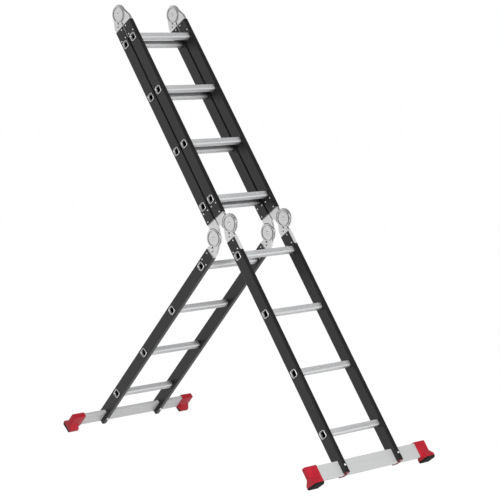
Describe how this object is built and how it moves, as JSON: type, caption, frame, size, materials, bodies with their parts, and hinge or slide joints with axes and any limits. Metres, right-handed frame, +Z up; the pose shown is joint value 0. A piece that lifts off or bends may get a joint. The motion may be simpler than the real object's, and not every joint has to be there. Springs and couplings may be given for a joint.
{
  "type": "multi position ladder",
  "caption": "Folding ladder of hinged sections, standing on a rear strut leg, with stabiliser bars and capped feet.",
  "frame": {"origin": "middle of the ladder's footprint, on the floor", "axes": "+X along the rungs, to the right as seen from the front; +Z up; the front leg reaches towards -Y"},
  "size_m": [0.7126, 1.5744, 1.9042],
  "materials": {
    "black_lacquer": "black lacquer",
    "aluminium": "brushed, clear",
    "hinge_grey": "semi-gloss grey",
    "catch_grey": "semi-gloss light grey",
    "rivet_steel": "zinc plated",
    "red_plastic": "satin",
    "dark_red_plastic": "satin",
    "black_plastic": "satin"
  },
  "bodies": {
    "front_upper": {"front_hinge_disc_left": "hinge_grey", "front_hinge_disc_right": "hinge_grey", "front_upper_rung_1": "aluminium", "front_upper_rung_2": "aluminium", "front_upper_rung_3": "aluminium", "front_upper_rung_4": "aluminium", "front_upper_stile_left": "black_lacquer", "front_upper_stile_right": "black_lacquer", "top_hinge_disc_left": "hinge_grey", "top_hinge_disc_right": "hinge_grey"},
    "rear_upper": {"rear_hinge_disc_left": "hinge_grey", "rear_hinge_disc_right": "hinge_grey", "rear_upper_rung_1": "aluminium", "rear_upper_rung_2": "aluminium", "rear_upper_rung_3": "aluminium", "rear_upper_rung_4": "aluminium", "rear_upper_stile_left": "black_lacquer", "rear_upper_stile_right": "black_lacquer", "top_hinge_fork_left": "hinge_grey", "top_hinge_fork_right": "hinge_grey", "top_hinge_rivet_left": "rivet_steel", "top_hinge_rivet_right": "rivet_steel"},
    "front_leg": {"front_hinge_fork_left": "hinge_grey", "front_hinge_fork_right": "hinge_grey", "front_hinge_rivet_left": "rivet_steel", "front_hinge_rivet_right": "rivet_steel", "front_leg_foot_left": "red_plastic", "front_leg_foot_right": "red_plastic", "front_leg_plug_left": "dark_red_plastic", "front_leg_plug_right": "dark_red_plastic", "front_leg_rung_1": "aluminium", "front_leg_rung_2": "aluminium", "front_leg_rung_3": "aluminium", "front_leg_rung_4": "aluminium", "front_leg_stabiliser_bar": "aluminium", "front_leg_stile_left": "black_lacquer", "front_leg_stile_right": "black_lacquer"},
    "rear_leg": {"rear_hinge_fork_left": "hinge_grey", "rear_hinge_fork_right": "hinge_grey", "rear_hinge_rivet_left": "rivet_steel", "rear_hinge_rivet_right": "rivet_steel", "rear_leg_foot_left": "red_plastic", "rear_leg_foot_right": "red_plastic", "rear_leg_plug_left": "black_plastic", "rear_leg_plug_right": "black_plastic", "rear_leg_rung_1": "aluminium", "rear_leg_rung_2": "aluminium", "rear_leg_rung_3": "aluminium", "rear_leg_rung_4": "aluminium", "rear_leg_stabiliser_bar": "aluminium", "rear_leg_stile_left": "black_lacquer", "rear_leg_stile_right": "black_lacquer"},
    "front_hinge_catch_left": {"front_hinge_catch_left": "catch_grey"},
    "front_hinge_catch_right": {"front_hinge_catch_right": "catch_grey"},
    "rear_hinge_catch_left": {"rear_hinge_catch_left": "catch_grey"},
    "rear_hinge_catch_right": {"rear_hinge_catch_right": "catch_grey"},
    "top_hinge_catch_left": {"top_hinge_catch_left": "catch_grey"},
    "top_hinge_catch_right": {"top_hinge_catch_right": "catch_grey"}
  },
  "joints": [
    {"name": "front_hinge_turn", "type": "hinge", "parent": "front_upper", "child": "front_leg", "pos_m": [0, -0.09493, 0.98971], "axis": [-1, 0, 0], "range_deg": [0, 180]},
    {"name": "top_hinge_turn", "type": "hinge", "parent": "front_upper", "child": "rear_upper", "pos_m": [0, 0.61193, 1.86054], "axis": [1, 0, 0], "range_deg": [0, 180]},
    {"name": "rear_hinge_turn", "type": "hinge", "parent": "rear_upper", "child": "rear_leg", "pos_m": [0, 0.00215, 0.91917], "axis": [-1, 0, 0], "range_deg": [-102.22, 77.78]},
    {"name": "front_hinge_catch_left_slide", "type": "slide", "parent": "front_leg", "child": "front_hinge_catch_left", "axis": [0, 0, 1], "range_m": [0, 0.0055]},
    {"name": "front_hinge_catch_right_slide", "type": "slide", "parent": "front_leg", "child": "front_hinge_catch_right", "axis": [0, 0, 1], "range_m": [0, 0.0055]},
    {"name": "top_hinge_catch_left_slide", "type": "slide", "parent": "rear_upper", "child": "top_hinge_catch_left", "axis": [0, 0, 1], "range_m": [0, 0.0055]},
    {"name": "top_hinge_catch_right_slide", "type": "slide", "parent": "rear_upper", "child": "top_hinge_catch_right", "axis": [0, 0, 1], "range_m": [0, 0.0055]},
    {"name": "rear_hinge_catch_left_slide", "type": "slide", "parent": "rear_leg", "child": "rear_hinge_catch_left", "axis": [0, -0.1006, 0.9949], "range_m": [0, 0.0055]},
    {"name": "rear_hinge_catch_right_slide", "type": "slide", "parent": "rear_leg", "child": "rear_hinge_catch_right", "axis": [0, -0.1006, 0.9949], "range_m": [0, 0.0055]}
  ]
}
